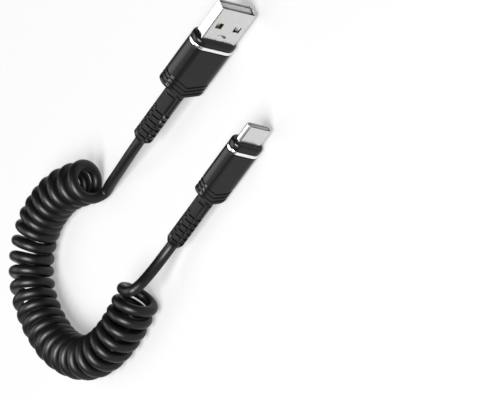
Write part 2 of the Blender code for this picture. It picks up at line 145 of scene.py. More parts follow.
class Workpiece:
    """A mesh shaped by operators, from a block to the finished piece."""

    def __init__(self, obj: bpy.types.Object, name: str) -> None:
        """Take over the active object, and move its place into its mesh.

        Args:
            obj: The object.
            name: Name of the piece.
        """
        self.obj = obj
        obj.name = name
        obj.data.name = name
        bpy.ops.object.transform_apply()

    @classmethod
    def block(cls, name: str, low: Sequence[float], high: Sequence[float]) -> Workpiece:
        """Add a block between two corners.

        Args:
            name: Name of the piece.
            low: Lowest corner.
            high: Highest corner.

        Returns:
            The block.
        """
        leave_edit_mode()
        low, high = Vector(low), Vector(high)
        bpy.ops.mesh.primitive_cube_add(size=1.0, location=(low + high) / 2, scale=high - low)
        return cls(bpy.context.object, name)

    def pick(self, part: Part, rule: Callable[..., bool]) -> None:
        """Select in edit mode what a rule keeps, and nothing else.

        Args:
            part: Whether faces, edges or vertices are chosen.
            rule: Takes one of them and says whether it is chosen.
        """
        activate(self.obj)
        bpy.ops.object.mode_set(mode="EDIT")
        bpy.ops.mesh.select_mode(type=part.value)
        bpy.ops.mesh.select_all(action="DESELECT")
        mesh = bmesh.from_edit_mesh(self.obj.data)
        items = {Part.FACE: mesh.faces, Part.EDGE: mesh.edges, Part.VERT: mesh.verts}[part]
        for item in [item for item in items if rule(item)]:
            item.select_set(True)
        mesh.select_flush_mode()
        bmesh.update_edit_mesh(self.obj.data)

    def pick_facing(self, direction: Vector) -> None:
        """Select the faces that look in a direction."""
        self.pick(Part.FACE, lambda face: face.normal.dot(direction) > FACING)

    def pick_all(self) -> None:
        """Select the whole mesh in edit mode."""
        activate(self.obj)
        bpy.ops.object.mode_set(mode="EDIT")
        bpy.ops.mesh.select_mode(type="VERT")
        bpy.ops.mesh.select_all(action="SELECT")

    def round_edges(self, direction: Vector, width: float, segments: int) -> None:
        """Round every edge that runs along a direction, and stay in edit mode."""
        self.pick(Part.EDGE, lambda edge: edge_along(edge, direction))
        bpy.ops.mesh.bevel(offset=width, segments=segments)

    def inset(self, thickness: float) -> None:
        """Inset the selected faces as one region."""
        bpy.ops.mesh.inset(thickness=thickness)

    def extrude(self, move: Vector) -> None:
        """Extrude the selected faces by a move."""
        bpy.ops.mesh.extrude_region_move(TRANSFORM_OT_translate={"value": move})

    def slice(self, place: Vector, normal: Vector, facing: Vector | None = None) -> None:
        """Cut a loop of edges with a plane.

        Args:
            place: A point on the plane.
            normal: The plane's normal.
            facing: Where the cut faces look, or None for the whole mesh.
        """
        if facing is None:
            self.pick_all()
        else:
            self.pick_facing(facing)
        bpy.ops.mesh.bisect(plane_co=place, plane_no=normal, threshold=TOUCHING)

    def turn(self, angle: float, centre: Vector) -> None:
        """Turn the whole piece about the plug's axis, from +Y towards +Z."""
        self.pick_all()
        bpy.ops.transform.rotate(value=-angle, orient_axis="X", center_override=centre)

    def squeeze(self, centre: Vector, along_y: float, along_z: float) -> None:
        """Scale the selection across the plug about a point, by a factor for each direction."""
        bpy.ops.transform.resize(value=(1.0, along_y, along_z), center_override=centre)

    def shift(self, rule: Callable[[Vector], Vector]) -> None:
        """Move every vertex by what a rule gives for its place."""
        activate(self.obj)
        for vertex in self.obj.data.vertices:
            vertex.co += rule(vertex.co)

    def apply(self, kind: str, **settings: object) -> None:
        """Add a modifier and apply it.

        Args:
            kind: The modifier's type.
            settings: Its properties, by name.
        """
        activate(self.obj)
        modifier = self.obj.modifiers.new(kind.title(), kind)
        for name, value in settings.items():
            setattr(modifier, name, value)
        bpy.ops.object.modifier_apply(modifier=modifier.name)

    def carve(self, tool: Workpiece) -> None:
        """Cut another piece out of this one, and delete that piece."""
        self.apply("BOOLEAN", operation="DIFFERENCE", solver="EXACT", object=tool.obj)
        bpy.data.objects.remove(tool.obj)

    def fuse(self, other: Workpiece) -> None:
        """Join another piece to this one as one body, and delete that piece."""
        self.apply("BOOLEAN", operation="UNION", solver="EXACT", object=other.obj)
        bpy.data.objects.remove(other.obj)

    def finish(self, easing: float, segments: int = 2) -> None:
        """Round every sharp edge and shade the rest smooth.

        Args:
            easing: Width of the rounding.
            segments: Faces across it.
        """
        self.apply(
            "BEVEL", width=easing, segments=segments, limit_method="ANGLE", angle_limit=SHARP,
            miter_outer="MITER_ARC",
        )
        activate(self.obj)
        bpy.ops.object.shade_smooth_by_angle(angle=SHARP)
        self.apply("WEIGHTED_NORMAL", keep_sharp=True)

    def copy(self, name: str, move: Vector) -> Workpiece:
        """A copy with its own mesh, moved to another place.

        Args:
            name: Name of the copy.
            move: How far the copy is moved.

        Returns:
            The copy.
        """
        activate(self.obj)
        bpy.ops.object.duplicate()
        bpy.ops.transform.translate(value=move)
        return Workpiece(bpy.context.object, name)

    def dress(self, finish: bpy.types.Material, slot: str, *nodes: str) -> None:
        """Give the piece its material, its body and the nodes that it stands for.

        Args:
            finish: The material.
            slot: The record's material slot; not used.
            nodes: The CAD nodes that the piece replaces.
        """
        self.obj.data.materials.clear()
        self.obj.data.materials.append(finish)
        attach(self.obj, BODY)
        if nodes:
            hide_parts(*nodes)
        faces = len(self.obj.data.polygons)
        LOG.info("%s: %d faces, replaces %s", self.obj.name, faces, nodes or "nothing")


def bar(name: str, back: float, front: float, centre: Vector, section: Section, steps: int) -> Workpiece:
    """A straight bar along X with a rounded section.

    Args:
        name: Name of the piece.
        back: Place of its rear end.
        front: Place of its front end.
        centre: Any point on its axis.
        section: Its outline across X.
        steps: Faces round each corner.

    Returns:
        The bar, with one face at each end.
    """
    half_y, half_z = section.thickness / 2, section.width / 2
    low = (back, centre.y - half_y, centre.z - half_z)
    high = (front, centre.y + half_y, centre.z + half_z)
    piece = Workpiece.block(name, low, high)
    piece.round_edges(ALONG, section.corner, steps)
    return piece


def edge_along(edge: bmesh.types.BMEdge, direction: Vector) -> bool:
    """Whether an edge runs along a direction."""
    run = edge.verts[1].co - edge.verts[0].co
    return abs(run.normalized().dot(direction)) > PARALLEL


def box_of(node: str) -> tuple[Vector, Vector]:
    """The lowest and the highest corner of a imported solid."""
    low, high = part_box(node)
    return Vector(low), Vector(high)


# Finishes


def linear(code: str) -> tuple[float, float, float, float]:
    """Turn an sRGB colour into a linear one.

    Args:
        code: The colour in hex, with its leading hash sign.

    Returns:
        Linear red, green, blue and alpha.
    """
    values = [int(code[at:at + 2], 16) / 255 for at in (1, 3, 5)]
    values = [v / 12.92 if v <= 0.04045 else ((v + 0.055) / 1.055) ** 2.4 for v in values]
    return (*values, 1.0)


def add_node(
    tree: bpy.types.NodeTree, kind: str, settings: dict[str, object] | None = None,
    **inputs: object,
) -> bpy.types.Node:
    """Add one node with its settings and what feeds its sockets.

    Args:
        tree: The node tree.
        kind: The node's type.
        settings: Its properties, by name.
        inputs: A value or an output socket for each input, by the input's name in lower case with
            underscores.

    Returns:
        The node.
    """
    node = tree.nodes.new(kind)
    for name, value in (settings or {}).items():
        setattr(node, name, value)
    feed(tree, node, **inputs)
    return node


def feed(tree: bpy.types.NodeTree, node: bpy.types.Node, **inputs: object) -> None:
    """Set a node's inputs by value, or link output sockets to them.

    Args:
        tree: The node tree.
        node: The node.
        inputs: What feeds each input, named as in add_node.
    """
    sockets = {socket.name.lower().replace(" ", "_"): socket for socket in reversed(node.inputs)}
    for name, value in inputs.items():
        if isinstance(value, bpy.types.NodeSocket):
            tree.links.new(value, sockets[name])
        else:
            sockets[name].default_value = value


@dataclass(frozen=True)
class Finish:
    """A surface: its colour, how it shines, and a grain of a real size."""

    name: str
    colour: str
    roughness: float
    metallic: float = 0.0
    specular: float = 0.5
    grain_mm: float = 0.25
    grain_stretch: tuple[float, float, float] = (1.0, 1.0, 1.0)
    grain_height_mm: float = 0.004
    grain_detail: float = 3.0
    grain_roughness: float = 0.55
    # The stretch of the grain's values that the roughness is spread over
    grain_range: tuple[float, float] = (0.3, 0.7)
    drift_mm: float = 6.0
    drift_detail: float = 2.0
    roughness_spread: float = 0.06
    shade_spread: float = 0.1

    def material(self) -> bpy.types.Material:
        """Make the material, with its grain in colour, roughness and bump.

        Returns:
            The material.
        """
        material = bpy.data.materials.new(self.name)
        material.use_nodes = True
        tree = material.node_tree
        place = add_node(tree, "ShaderNodeTexCoord")
        scaled = add_node(
            tree, "ShaderNodeMapping", vector=place.outputs["Object"], scale=self.grain_stretch,
        )
        grain = add_node(
            tree, "ShaderNodeTexNoise", vector=scaled.outputs["Vector"],
            scale=1.0 / (self.grain_mm * MM), detail=self.grain_detail, roughness=self.grain_roughness,
        )
        drift = add_node(
            tree, "ShaderNodeTexNoise", vector=place.outputs["Object"],
            scale=1.0 / (self.drift_mm * MM), detail=self.drift_detail,
        )
        base = linear(self.colour)
        deep = tuple(value * (1.0 - self.shade_spread) for value in base[:3])
        pale = tuple(min(value * (1.0 + self.shade_spread), 1.0) for value in base[:3])
        tint = add_node(tree, "ShaderNodeMix", {"data_type": "RGBA"}, factor=drift.outputs["Fac"])
        tint.inputs[MIX_FIRST].default_value = (*deep, 1.0)
        tint.inputs[MIX_SECOND].default_value = (*pale, 1.0)
        gloss = add_node(
            tree, "ShaderNodeMapRange", value=grain.outputs["Fac"],
            from_min=self.grain_range[0], from_max=self.grain_range[1],
            to_min=self.roughness - self.roughness_spread, to_max=self.roughness + self.roughness_spread,
        )
        bump = add_node(
            tree, "ShaderNodeBump", height=grain.outputs["Fac"], distance=self.grain_height_mm * MM,
            strength=1.0,
        )
        feed(
            tree, tree.nodes["Principled BSDF"], base_color=tint.outputs[MIX_RESULT],
            metallic=self.metallic, roughness=gloss.outputs["Result"],
            specular_ior_level=self.specular, normal=bump.outputs["Normal"],
        )
        return material


@dataclass(frozen=True)
class Finishes:
    """Every finish of the cable, each made once."""

    # Satin thermoplastic elastomer jacket: a soft, broad highlight along each strand
    jacket: Finish = Finish(
        "satin elastomer jacket", "#060606", 0.41, specular=0.26, grain_mm=0.35, grain_height_mm=0.003,
        shade_spread=0.15,
    )
    # Fine-textured ABS and polycarbonate: near black, with a clear but soft reflection
    moulding: Finish = Finish(
        "moulded black plastic", "#090909", 0.3, specular=0.26, grain_mm=0.12, grain_height_mm=0.001,
        shade_spread=0.12,
    )
    # Soft elastomer overmoulding: black, duller than the grip
    relief: Finish = Finish(
        "soft black overmoulding", "#060606", 0.38, specular=0.2, grain_mm=0.2, grain_height_mm=0.002,
        shade_spread=0.15,
    )
    # Nickel-plated steel, drawn along the plug: fine streaks in its gloss
    steel: Finish = Finish(
        "nickel-plated drawn steel", "#cfcfd0", 0.24, metallic=1.0, grain_mm=0.1,
        grain_stretch=(0.08, 1.0, 1.0), grain_height_mm=0.0004, roughness_spread=0.04, shade_spread=0.03,
    )
    # Chrome trim with a brushed sheen: an even, bright line
    chrome: Finish = Finish(
        "bright chrome trim", "#f2f2f4", 0.24, metallic=1.0, grain_mm=0.3, grain_height_mm=0.0002,
        roughness_spread=0.03, shade_spread=0.02,
    )
    # Gold-plated contact: warm and bright
    gold: Finish = Finish(
        "gold-plated contact", "#e0b45c", 0.2, metallic=1.0, grain_mm=0.15, grain_height_mm=0.0003,
        roughness_spread=0.04, shade_spread=0.05,
    )
    # Pale glass-filled moulding: matt, off-white
    pale: Finish = Finish(
        "pale glass-filled moulding", "#c9c9c6", 0.5, grain_mm=0.15, grain_height_mm=0.002,
        shade_spread=0.04,
    )
    # Pale liquid-crystal polymer insulator: matt
    insulator: Finish = Finish(
        "pale polymer insulator", "#d2d2d0", 0.5, grain_mm=0.15, grain_height_mm=0.002,
    )


# The cord


@dataclass
class Cord:
    """The jacketed cord: a straight tail at each plug and a coil between them."""

    diameter: float = 3.3 * MM
    coil_outer: float = 13.8 * MM
    steps_per_turn: int = 40
    tail_steps: int = 5
    bend_steps: int = 18
    bevel_resolution: int = 7
    start_turn: float = -0.1
    end_turn: float = 28.2
    start_angle: float = math.pi
    inside_relief: float = 4.0 * MM
    length: float = 1.0
    # How far the turns lean out of square to the coil's axis, by turn, degrees
    lean: tuple[tuple[float, float], ...] = (
        (0.0, 0.0), (3.0, -5.0), (9.0, -22.0), (14.0, -20.0), (20.0, -12.0), (25.0, -4.0), (28.3, 0.0),
    )
    # Length of the handles of the bend between each tail and the coil
    bend_a: float = 3.2 * MM
    bend_c: float = 1.8 * MM
    # The middle of each turn in plan, millimetres, from the USB-A end to the USB-C end
    turns_mm: tuple[tuple[float, float], ...] = (
        (-51.75, 26.9), (-56.35, 30.1), (-61.0, 32.9), (-65.15, 34.6), (-68.85, 35.2), (-72.45, 35.2),
        (-75.75, 34.8), (-78.85, 33.5), (-82.25, 31.2), (-85.25, 28.1), (-87.55, 24.5), (-89.35, 20.3),
        (-90.45, 15.7), (-90.75, 10.8), (-90.55, 5.8), (-89.85, 0.8), (-88.85, -4.0), (-87.25, -8.5),
        (-85.15, -12.7), (-82.65, -16.5), (-79.75, -19.8), (-76.45, -22.4), (-72.9, -24.2),
        (-69.1, -25.3), (-65.3, -25.7), (-61.6, -25.6), (-58.0, -25.1), (-54.5, -24.1), (-50.6, -22.8),
    )
    # Each tail from its strain relief towards the coil, millimetres
    tail_a_mm: tuple[tuple[float, float, float], ...] = (
        (-27.98, 18.8, 7.25), (-32.83, 19.55, 6.5), (-37.88, 20.65, 5.4), (-42.96, 21.87, 4.2),
        (-47.24, 22.93, 3.2),
    )
    tail_c_mm: tuple[tuple[float, float, float], ...] = (
        (-32.9, -19.66, 5.6), (-36.17, -20.67, 6.5), (-39.1, -22.13, 7.8), (-41.75, -23.74, 9.4),
        (-43.89, -25.17, 11.0), (-45.79, -25.63, 12.1),
    )

    def axis(self, turn: float) -> Vector:
        """A point on the coil's axis, with one turn between neighbouring centres.

        Args:
            turn: Count of turns from the first centre, also below 0 or past the last one.

        Returns:
            The point, one coil radius above the surface.
        """
        last = len(self.turns_mm) - 1
        at = min(max(int(math.floor(turn)), 0), last - 1)
        share = turn - at
        before, start, end, after = (
            Vector(self.turns_mm[min(max(at + step, 0), last)]) for step in (-1, 0, 1, 2)
        )
        if at == 0:
            before = 2 * start - end
        if at == last - 1:
            after = 2 * end - start
        if 0.0 <= share <= 1.0:
            plan = 0.5 * (
                2 * start + (end - before) * share
                + (2 * before - 5 * start + 4 * end - after) * share ** 2
                + (3 * start - before - 3 * end + after) * share ** 3
            )
        else:
            plan = start + (end - start) * share
        return Vector((plan.x * MM, plan.y * MM, self.coil_outer / 2))

    def on_coil(self, turn: float) -> Vector:
        """A point on the cord where it winds round the coil's axis.

        Args:
            turn: Count of turns, right-handed from the USB-A end.

        Returns:
            The point.
        """
        beside = 0.02
        along = (self.axis(turn + beside) - self.axis(turn - beside)).normalized()
        outer = Matrix.Rotation(math.radians(self.lean_at(turn)), 3, UP) @ along.cross(UP)
        angle = self.start_angle - 2 * math.pi * turn
        radius = (self.coil_outer - self.diameter) / 2
        return self.axis(turn) + (outer * math.cos(angle) + UP * math.sin(angle)) * radius

    def lean_at(self, turn: float) -> float:
        """Degrees that the turns lean at one place of the coil.

        Args:
            turn: Count of turns from the first centre.

        Returns:
            The lean, between those of the two nearest listed turns.
        """
        for (low, start), (high, end) in zip(self.lean, self.lean[1:]):
            if turn <= high:
                return start + (end - start) * max(turn - low, 0.0) / (high - low)
        return self.lean[-1][1]

    def coil(self) -> list[Vector]:
        """Every point of the cord along the coil."""
        count = round((self.end_turn - self.start_turn) * self.steps_per_turn)
        step = (self.end_turn - self.start_turn) / count
        return [self.on_coil(self.start_turn + step * number) for number in range(count + 1)]

    @staticmethod
    def smooth(points: Sequence[Vector], steps: int) -> list[Vector]:
        """Points on a smooth curve through a route.

        Args:
            points: The route.
            steps: New points for each stretch of the route.

        Returns:
            The denser route, with its own ends kept.
        """
        dense = [points[0]]
        for at in range(len(points) - 1):
            start, end = points[at], points[at + 1]
            before = points[at - 1] if at else 2 * start - end
            after = points[at + 2] if at + 2 < len(points) else 2 * end - start
            handles = (start + (end - before) / 6, end - (after - start) / 6)
            dense += interpolate_bezier(start, *handles, end, steps + 1)[1:]
        return dense

    def blend(self, tail: Sequence[Vector], coil: Sequence[Vector], pull: float) -> list[Vector]:
        """The bend between a tail's last point and the coil's first one.

        Args:
            tail: Points of the tail, towards the coil.
            coil: Points of the coil, away from the tail.
            pull: Length of the bend's handle at each end.

        Returns:
            The points between the two, without their own ends.
        """
        leaving = (tail[-1] - tail[-2]).normalized() * pull
        arriving = (coil[1] - coil[0]).normalized() * pull
        handles = (tail[-1] + leaving, coil[0] - arriving)
        return interpolate_bezier(tail[-1], *handles, coil[0], self.bend_steps)[1:-1]

    def route(self) -> list[Vector]:
        """The cord's own line, from inside one strain relief to inside the other."""
        coil = self.coil()
        tails = []
        for kind, points in ((Kind.USB_A, self.tail_a_mm), (Kind.USB_C, self.tail_c_mm)):
            leaves = relief_exit(kind)
            known = [leaves + ALONG * self.inside_relief, leaves] + [Vector(point) * MM for point in points]
            tails.append(self.smooth(known, self.tail_steps))
        first = self.blend(tails[0], coil, self.bend_a)
        back = self.blend(tails[1], coil[::-1], self.bend_c)
        return tails[0] + first + coil + back[::-1] + tails[1][::-1]

    def build(self, finish: bpy.types.Material) -> None:
        """Args:
            finish: The jacket's material.
        """
        points = self.route()
        curve = bpy.data.curves.new("coiled_cord", "CURVE")
        curve.dimensions = "3D"
        curve.bevel_depth = self.diameter / 2
        curve.bevel_resolution = self.bevel_resolution
        curve.use_fill_caps = True
        spline = curve.splines.new("POLY")
        spline.points.add(len(points) - 1)
        for knot, point in zip(spline.points, points):
            knot.co = (*point, 1.0)
        spline.use_smooth = True
        cord = add_object("coiled_cord", curve)
        curve.materials.append(finish)
        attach(cord, BODY)
        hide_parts("cord_tail_usb_a", "cord_coil", "cord_tail_usb_c")
        total = sum((far - near).length for near, far in zip(points, points[1:]))
        LOG.info("coiled_cord: %.3f m along %d points", total, len(points))


def relief_exit(kind: Kind) -> Vector:
    """Where the cord leaves a plug's strain relief."""
    low, high = box_of(f"{kind.value}_strain_relief")
    return Vector((low.x, (low.y + high.y) / 2, (low.z + high.z) / 2))


# The plugs


@dataclass(frozen=True)
class Places:
    """Where one plug's pieces lie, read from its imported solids."""

    centre: Vector
    root: float
    tip: float
    nose_front: float
    spigot_back: float
    ring_front: float
    ring_back: float
    grip_front: float
    grip_back: float
    stem_front: float
    relief_back: float
    shell: Section
    grip: Section
    ring_proud: float

    @classmethod
    def of(cls, kind: Kind, shell_corner: float, grip_corner: float) -> Places:
        """Read a plug's places and outlines from the frame.

        Args:
            kind: Which plug.
            shell_corner: Corner radius of its metal shell.
            grip_corner: Corner radius of its grip.

        Returns:
            The places.
        """
        box = {
            piece: box_of(f"{kind.value}_{piece}")
            for piece in ("shell", "nose", "trim_ring", "grip", "strain_relief")
        }

        def outline(piece: str, corner: float) -> Section:
            """A solid's outline across X."""
            size = box[piece][1] - box[piece][0]
            return Section(size.y, size.z, corner)

        back = {piece: low.x for piece, (low, high) in box.items()}
        front = {piece: high.x for piece, (low, high) in box.items()}
        grip = outline("grip", grip_corner)
        return cls(
            centre=(box["shell"][0] + box["shell"][1]) / 2,
            root=back["shell"], tip=front["shell"],
            nose_front=front["nose"], spigot_back=back["nose"],
            ring_front=front["trim_ring"], ring_back=back["trim_ring"],
            grip_front=front["grip"], grip_back=back["grip"],
            stem_front=front["strain_relief"], relief_back=back["strain_relief"],
            shell=outline("shell", shell_corner),
            grip=grip,
            ring_proud=(outline("trim_ring", 0.0).width - grip.width) / 2,
        )

    def at(self, x: float, y: float = 0.0, z: float = 0.0) -> Vector:
        """A point given along X, and by its distance from the plug's axis."""
        return Vector((x, self.centre.y + y, self.centre.z + z))


@dataclass
class PlugBody:
    """A plug's moulded body: nose, trim ring, grip and strain relief."""

    kind: Kind
    places: Places
    nose_crown: float
    nose_inset: float
    rear_taper: float
    chevron_reach: float
    relief: Section
    stem: Section
    spigot_margin: float = 1.5 * MM
    corner_steps: int = 12
    crown_steps: int = 6
    seat_gap: float = 0.3 * MM
    slip_gap: float = 0.12 * MM
    groove_count: int = 3
    groove_pitch: float = 1.45 * MM
    groove_width: float = 0.6 * MM
    groove_depth: float = 0.35 * MM
    groove_rear_margin: float = 1.1 * MM
    lip: float = 0.08 * MM
    # How the sharp edges of each piece are rounded
    ring_easing: float = 0.15 * MM
    ring_easing_steps: int = 3
    grip_easing: float = 0.1 * MM
    relief_easing: float = 0.09 * MM
    relief_roll: float = math.radians(45)
    slot_rows: int = 4
    slot_count: int = 6
    slot_pitch: float = 2.0 * MM
    slot_stagger: float = 0.7 * MM
    slot_width: float = 0.8 * MM
    slot_depth: float = 0.75 * MM
    slot_end_wall: float = 1.15 * MM
    slot_rounding: float = 0.15 * MM
    slot_tail_margin: float = 1.7 * MM
    channel_width: float = 0.7 * MM
    channel_depth: float = 0.6 * MM
    channel_front_margin: float = 0.6 * MM
    scallop_width: float = 0.6 * MM
    scallop_depth: float = 0.4 * MM
    tail_bevel: float = 1.2 * MM
    tail_wall: float = 0.5 * MM
    stem_overlap: float = 1.0 * MM

    def name(self, piece: str) -> str:
        """Name of one of this plug's pieces."""
        return f"{self.kind.value}_{piece}"

    def build(self, finishes: dict[str, bpy.types.Material], cord_diameter: float) -> None:
        """Build the four pieces and dress them.

        Args:
            finishes: The materials, by their names in Finishes.
            cord_diameter: Diameter of the cord that leaves the plug.
        """
        self.nose().dress(finishes["moulding"], "grip_plastic", self.name("nose"))
        self.trim_ring().dress(finishes["chrome"], "trim_chrome", self.name("trim_ring"))
        self.grip().dress(finishes["moulding"], "grip_plastic", self.name("grip"))
        self.strain_relief(cord_diameter).dress(
            finishes["relief"], "relief_rubber", self.name("strain_relief")
        )

    def nose(self) -> Workpiece:
        """The collar in front of the ring: a crowned front, a socket for the shell and a rear spigot."""
        place = self.places
        back = place.ring_front + self.seat_gap
        piece = bar(
            self.name("nose_collar"), back, place.nose_front, place.centre, place.grip, self.corner_steps
        )
        piece.pick_facing(-ALONG)
        piece.inset(self.spigot_margin)
        piece.extrude(Vector((place.spigot_back - back, 0.0, 0.0)))
        for step in range(1, self.crown_steps + 1):
            angle = math.pi / 2 * step / self.crown_steps
            before = math.pi / 2 * (step - 1) / self.crown_steps
            drawn = self.nose_inset * (math.cos(before) - math.cos(angle))
            ahead = self.nose_crown * (math.sin(angle) - math.sin(before))
            if step == 1:
                piece.slice(place.at(place.nose_front - self.nose_crown), ALONG)
                piece.pick_facing(ALONG)
                bpy.ops.transform.translate(value=(ahead - self.nose_crown, 0.0, 0.0))
            else:
                piece.extrude(ALONG * ahead)
            size_y = place.grip.thickness - 2 * self.nose_inset * (1 - math.cos(before))
            size_z = place.grip.width - 2 * self.nose_inset * (1 - math.cos(before))
            piece.squeeze(place.centre, 1 - 2 * drawn / size_y, 1 - 2 * drawn / size_z)
        socket = bar(
            "socket", place.root - self.seat_gap, place.nose_front + self.seat_gap, place.centre,
            place.shell.drawn_in(-self.slip_gap), self.corner_steps,
        )
        piece.carve(socket)
        piece.finish(self.lip)
        return piece

    def trim_ring(self) -> Workpiece:
        """The bright ring between nose and grip, threaded on the spigot."""
        place = self.places
        outline = place.grip.drawn_in(-place.ring_proud)
        piece = bar(
            self.name("bright_ring"), place.ring_back, place.ring_front, place.centre, outline,
            self.corner_steps,
        )
        piece.pick(Part.FACE, lambda face: abs(face.normal.x) > FACING)
        piece.inset(self.spigot_margin - self.slip_gap + place.ring_proud)
        bpy.ops.mesh.bridge_edge_loops()
        piece.finish(self.ring_easing, self.ring_easing_steps)
        return piece

    def grip(self) -> Workpiece:
        """The hard grip: chevron grooves round its rear, and a pointed rear end that holds the relief."""
        place = self.places
        piece = bar(
            self.name("moulded_grip"), place.grip_back, place.grip_front, place.centre, place.grip,
            self.corner_steps,
        )
        piece.pick_facing(ALONG)
        piece.inset(self.spigot_margin - self.slip_gap)
        piece.extrude(Vector((place.spigot_back - self.seat_gap - place.grip_front, 0.0, 0.0)))
        piece.slice(place.centre, UP)
        for index in range(self.groove_count):
            low = place.grip_back + self.groove_rear_margin + index * self.groove_pitch
            high = low + self.groove_width
            for x in (low - self.lip, low, high, high + self.lip):
                piece.slice(Vector((x, 0.0, 0.0)), ALONG)
            piece.pick(Part.VERT, lambda vert: low - TOUCHING <= vert.co.x <= high + TOUCHING)
            shrink_y = 1 - 2 * self.groove_depth / place.grip.thickness
            shrink_z = 1 - 2 * self.groove_depth / place.grip.width
            piece.squeeze(place.centre, shrink_y, shrink_z)
        fade_start = place.grip_back + self.groove_rear_margin + self.groove_count * self.groove_pitch

        def lean(point: Vector) -> Vector:
            """Push a point forward by its distance from the plug's middle, so cross lines turn into Vs."""
            share = 1.0 if point.x <= fade_start else 0.0
            off_middle = min(abs(point.z - place.centre.z) / self.chevron_reach, 1.0)
            return ALONG * (share * self.rear_taper * off_middle)

        piece.shift(lean)
        seat = bar(
            "seat", place.grip_back - self.rear_taper, place.stem_front + self.seat_gap, place.centre,
            self.stem.drawn_in(-self.slip_gap), self.corner_steps,
        )
        piece.carve(seat)
        piece.finish(self.grip_easing)
        return piece

    def strain_relief(self, cord_diameter: float) -> Workpiece:
        """The flexible sleeve round the cord: padded all round, notched round the grip, with a stem.

        Args:
            cord_diameter: Diameter of the cord that leaves it.

        Returns:
            The sleeve.
        """
        place = self.places
        side = self.relief.width
        piece = bar(
            self.name("flexible_relief"), place.relief_back, place.grip_back + self.rear_taper,
            place.centre, self.relief, self.corner_steps,
        )
        piece.slice(Vector((place.relief_back + self.tail_bevel, 0.0, 0.0)), ALONG)
        piece.pick_facing(-ALONG)
        tail = (cord_diameter + 2 * self.tail_wall) / side
        piece.squeeze(place.centre, tail, tail)
        for row in range(self.slot_rows):
            for cutter in self.row_cutters(row):
                cutter.turn(2 * math.pi * row / self.slot_rows, place.centre)
                piece.carve(cutter)
        piece.turn(self.relief_roll, place.centre)
        piece.carve(self.rear_wedge())
        piece.fuse(bar(
            "stem", place.grip_back - self.stem_overlap, place.stem_front, place.centre, self.stem,
            self.corner_steps,
        ))
        piece.finish(self.relief_easing)
        return piece

    def row_cutters(self, row: int) -> list[Workpiece]:
        """What is cut from one side of the strain relief and from the edge after it.

        Args:
            row: Which side, counted round the axis.

        Returns:
            The slots across the side, the channels that bound them, and the scallops of the edge, all
            as they lie on the side towards +Y.
        """
        place = self.places
        half = self.relief.width / 2
        middle = half - self.slot_end_wall
        back = place.relief_back + self.tail_bevel
        front = place.grip_back - self.channel_front_margin
        low = back + self.slot_tail_margin - (row * self.slot_stagger) % self.slot_pitch
        slots = Workpiece.block(
            "slots", place.at(low, half - self.slot_depth, -middle),
            place.at(low + self.slot_width, 2 * half, middle),
        )
        slots.round_edges(ACROSS, self.slot_rounding, CUT_STEPS)
        cutters = [self.repeated(slots)]
        across = self.channel_width / 2
        for side in (-middle, middle):
            cutters.append(Workpiece.block(
                "channel", place.at(back, half - self.channel_depth, side - across),
                place.at(front, 2 * half, side + across),
            ))
        cutters.append(Workpiece.block(
            "channel_end", place.at(front - self.channel_width, half - self.channel_depth, -middle),
            place.at(front, 2 * half, middle),
        ))
        crest = (half - self.relief.corner) * math.sqrt(2) + self.relief.corner
        scallops = Workpiece.block(
            "scallops", place.at(low, crest - self.scallop_depth, -half),
            place.at(low + self.scallop_width, 2 * half, half),
        )
        scallops.turn(math.pi / self.slot_rows, place.centre)
        cutters.append(self.repeated(scallops))
        return cutters

    def repeated(self, cutter: Workpiece) -> Workpiece:
        """Repeat a cutter along the plug, once for each slot."""
        cutter.apply(
            "ARRAY", count=self.slot_count, use_relative_offset=False, use_constant_offset=True,
            constant_offset_displace=(self.slot_pitch, 0.0, 0.0),
        )
        return cutter

    def rear_wedge(self) -> Workpiece:
        """A block whose rear end is the V of the grip's rear, one gap behind it."""
        place = self.places
        reach = place.grip.width / 2
        back = place.grip_back - self.seat_gap + self.rear_taper
        piece = Workpiece.block(
            "wedge", place.at(back, -reach, -reach), place.at(back + place.grip.width, reach, reach)
        )
        for off_middle in (-self.chevron_reach, 0.0, self.chevron_reach):
            piece.slice(place.at(back, z=off_middle), UP)
        piece.pick(
            Part.VERT,
            lambda vert: abs(vert.co.z - place.centre.z) < TOUCHING and vert.co.x < back + TOUCHING,
        )
        bpy.ops.transform.translate(value=(-self.rear_taper, 0.0, 0.0))
        return piece


@dataclass
class MetalEnd:
    """What every plug's metal end has: a drawn shell, open at its tip."""

    kind: Kind
    places: Places
    wall: float = 0.3 * MM
    corner_steps: int = 10
    lip: float = 0.03 * MM

    def sheet(self, name: str) -> Workpiece:
        """The shell's outer surface alone, open at its tip.

        Args:
            name: Name of the piece.

        Returns:
            The surface, as one sheet without thickness.
        """
        place = self.places
        piece = bar(name, place.root, place.tip, place.centre, place.shell, self.corner_steps)
        piece.pick_facing(ALONG)
        bpy.ops.mesh.delete(type="FACE")
        return piece

    def thicken(self, piece: Workpiece) -> None:
        """Give the sheet its thickness, inwards."""
        piece.apply("SOLIDIFY", thickness=self.wall, offset=-1.0, use_even_offset=True)


